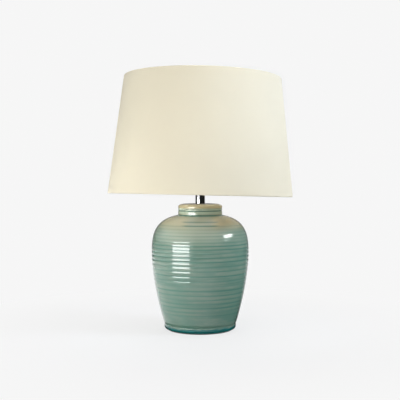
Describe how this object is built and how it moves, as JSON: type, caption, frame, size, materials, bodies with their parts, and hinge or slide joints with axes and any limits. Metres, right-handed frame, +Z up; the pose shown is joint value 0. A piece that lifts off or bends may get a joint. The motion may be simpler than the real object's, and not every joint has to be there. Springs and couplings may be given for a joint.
{
  "type": "table lamp",
  "caption": "Ginger jar table lamp: ribbed glazed stoneware base, short chrome stem, switched screw lampholder with bulb, and a tapered cream fabric shade on a wire spider.",
  "frame": {"origin": "middle of the felt pad's underside, where the lamp stands", "axes": "+Z up along the jar and stem, -Y to the front of the picture, +X to its right, cable hole at +Y"},
  "size_m": [0.3496, 0.3495, 0.4816],
  "materials": {
    "glaze": "glossy grey-green glaze",
    "felt": "pressed felt",
    "black_rubber": "moulded",
    "chrome": "polished",
    "zinc_steel": "zinc plated",
    "white_plastic": "moulded",
    "porcelain": "unglazed",
    "brass_contacts": "stamped",
    "white_wire": "powder coated",
    "cream_cloth": "plain woven",
    "liner_film": "matt film",
    "opal_glass": "opal",
    "bulb_metal": "rolled",
    "dark_insulator": "vitreous"
  },
  "bodies": {
    "base": {"jar": "glaze", "base_pad": "felt", "cable_grommet": "black_rubber", "seat_washer": "black_rubber", "stem_tube": "chrome", "stem_rod": "zinc_steel", "inner_washer": "zinc_steel", "inner_nut": "zinc_steel", "holder_cap": "white_plastic", "cap_lock_screw": "zinc_steel", "holder_insert": "porcelain", "screw_shell": "brass_contacts", "centre_contact": "brass_contacts", "terminal_screws": "brass_contacts", "fixed_contacts": "brass_contacts", "holder_skirt": "white_plastic"},
    "switch": {"switch_bar": "white_plastic", "switch_contact": "brass_contacts"},
    "shade_ring": {"shade_ring": "white_plastic"},
    "bulb_foot": {"bulb_contact": "bulb_metal", "bulb_insulator": "dark_insulator"},
    "bulb": {"bulb_glass": "opal_glass", "bulb_cap": "bulb_metal"},
    "shade": {"shade_fabric": "cream_cloth", "shade_liner": "liner_film", "top_ring": "white_wire", "bottom_ring": "white_wire", "gallery_ring": "white_wire", "spider_arms": "white_wire"}
  },
  "joints": [
    {"name": "switch_push", "type": "slide", "parent": "base", "child": "switch", "axis": [1, 0, 0], "range_m": [0, 0.007]},
    {"name": "ring_turn", "type": "hinge", "parent": "base", "child": "shade_ring", "pos_m": [0, 0, 0.29422], "axis": [0, 0, 1], "continuous": true},
    {"name": "bulb_lift", "type": "slide", "parent": "base", "child": "bulb_foot", "axis": [0, 0, 1], "range_m": [0, 0.0182]},
    {"name": "bulb_turn", "type": "hinge", "parent": "bulb_foot", "child": "bulb", "pos_m": [0, 0, 0.3], "axis": [0, 0, 1], "range_deg": [0, 1800]},
    {"name": "shade_turn", "type": "hinge", "parent": "base", "child": "shade", "pos_m": [0.00081, 0.00081, 0.29262], "axis": [0.0213, 0.0213, 0.9995], "continuous": true}
  ],
  "couplings": [
    {"joint": "bulb_lift", "follows": "bulb_turn", "m_per_rad": 0.00057614}
  ]
}
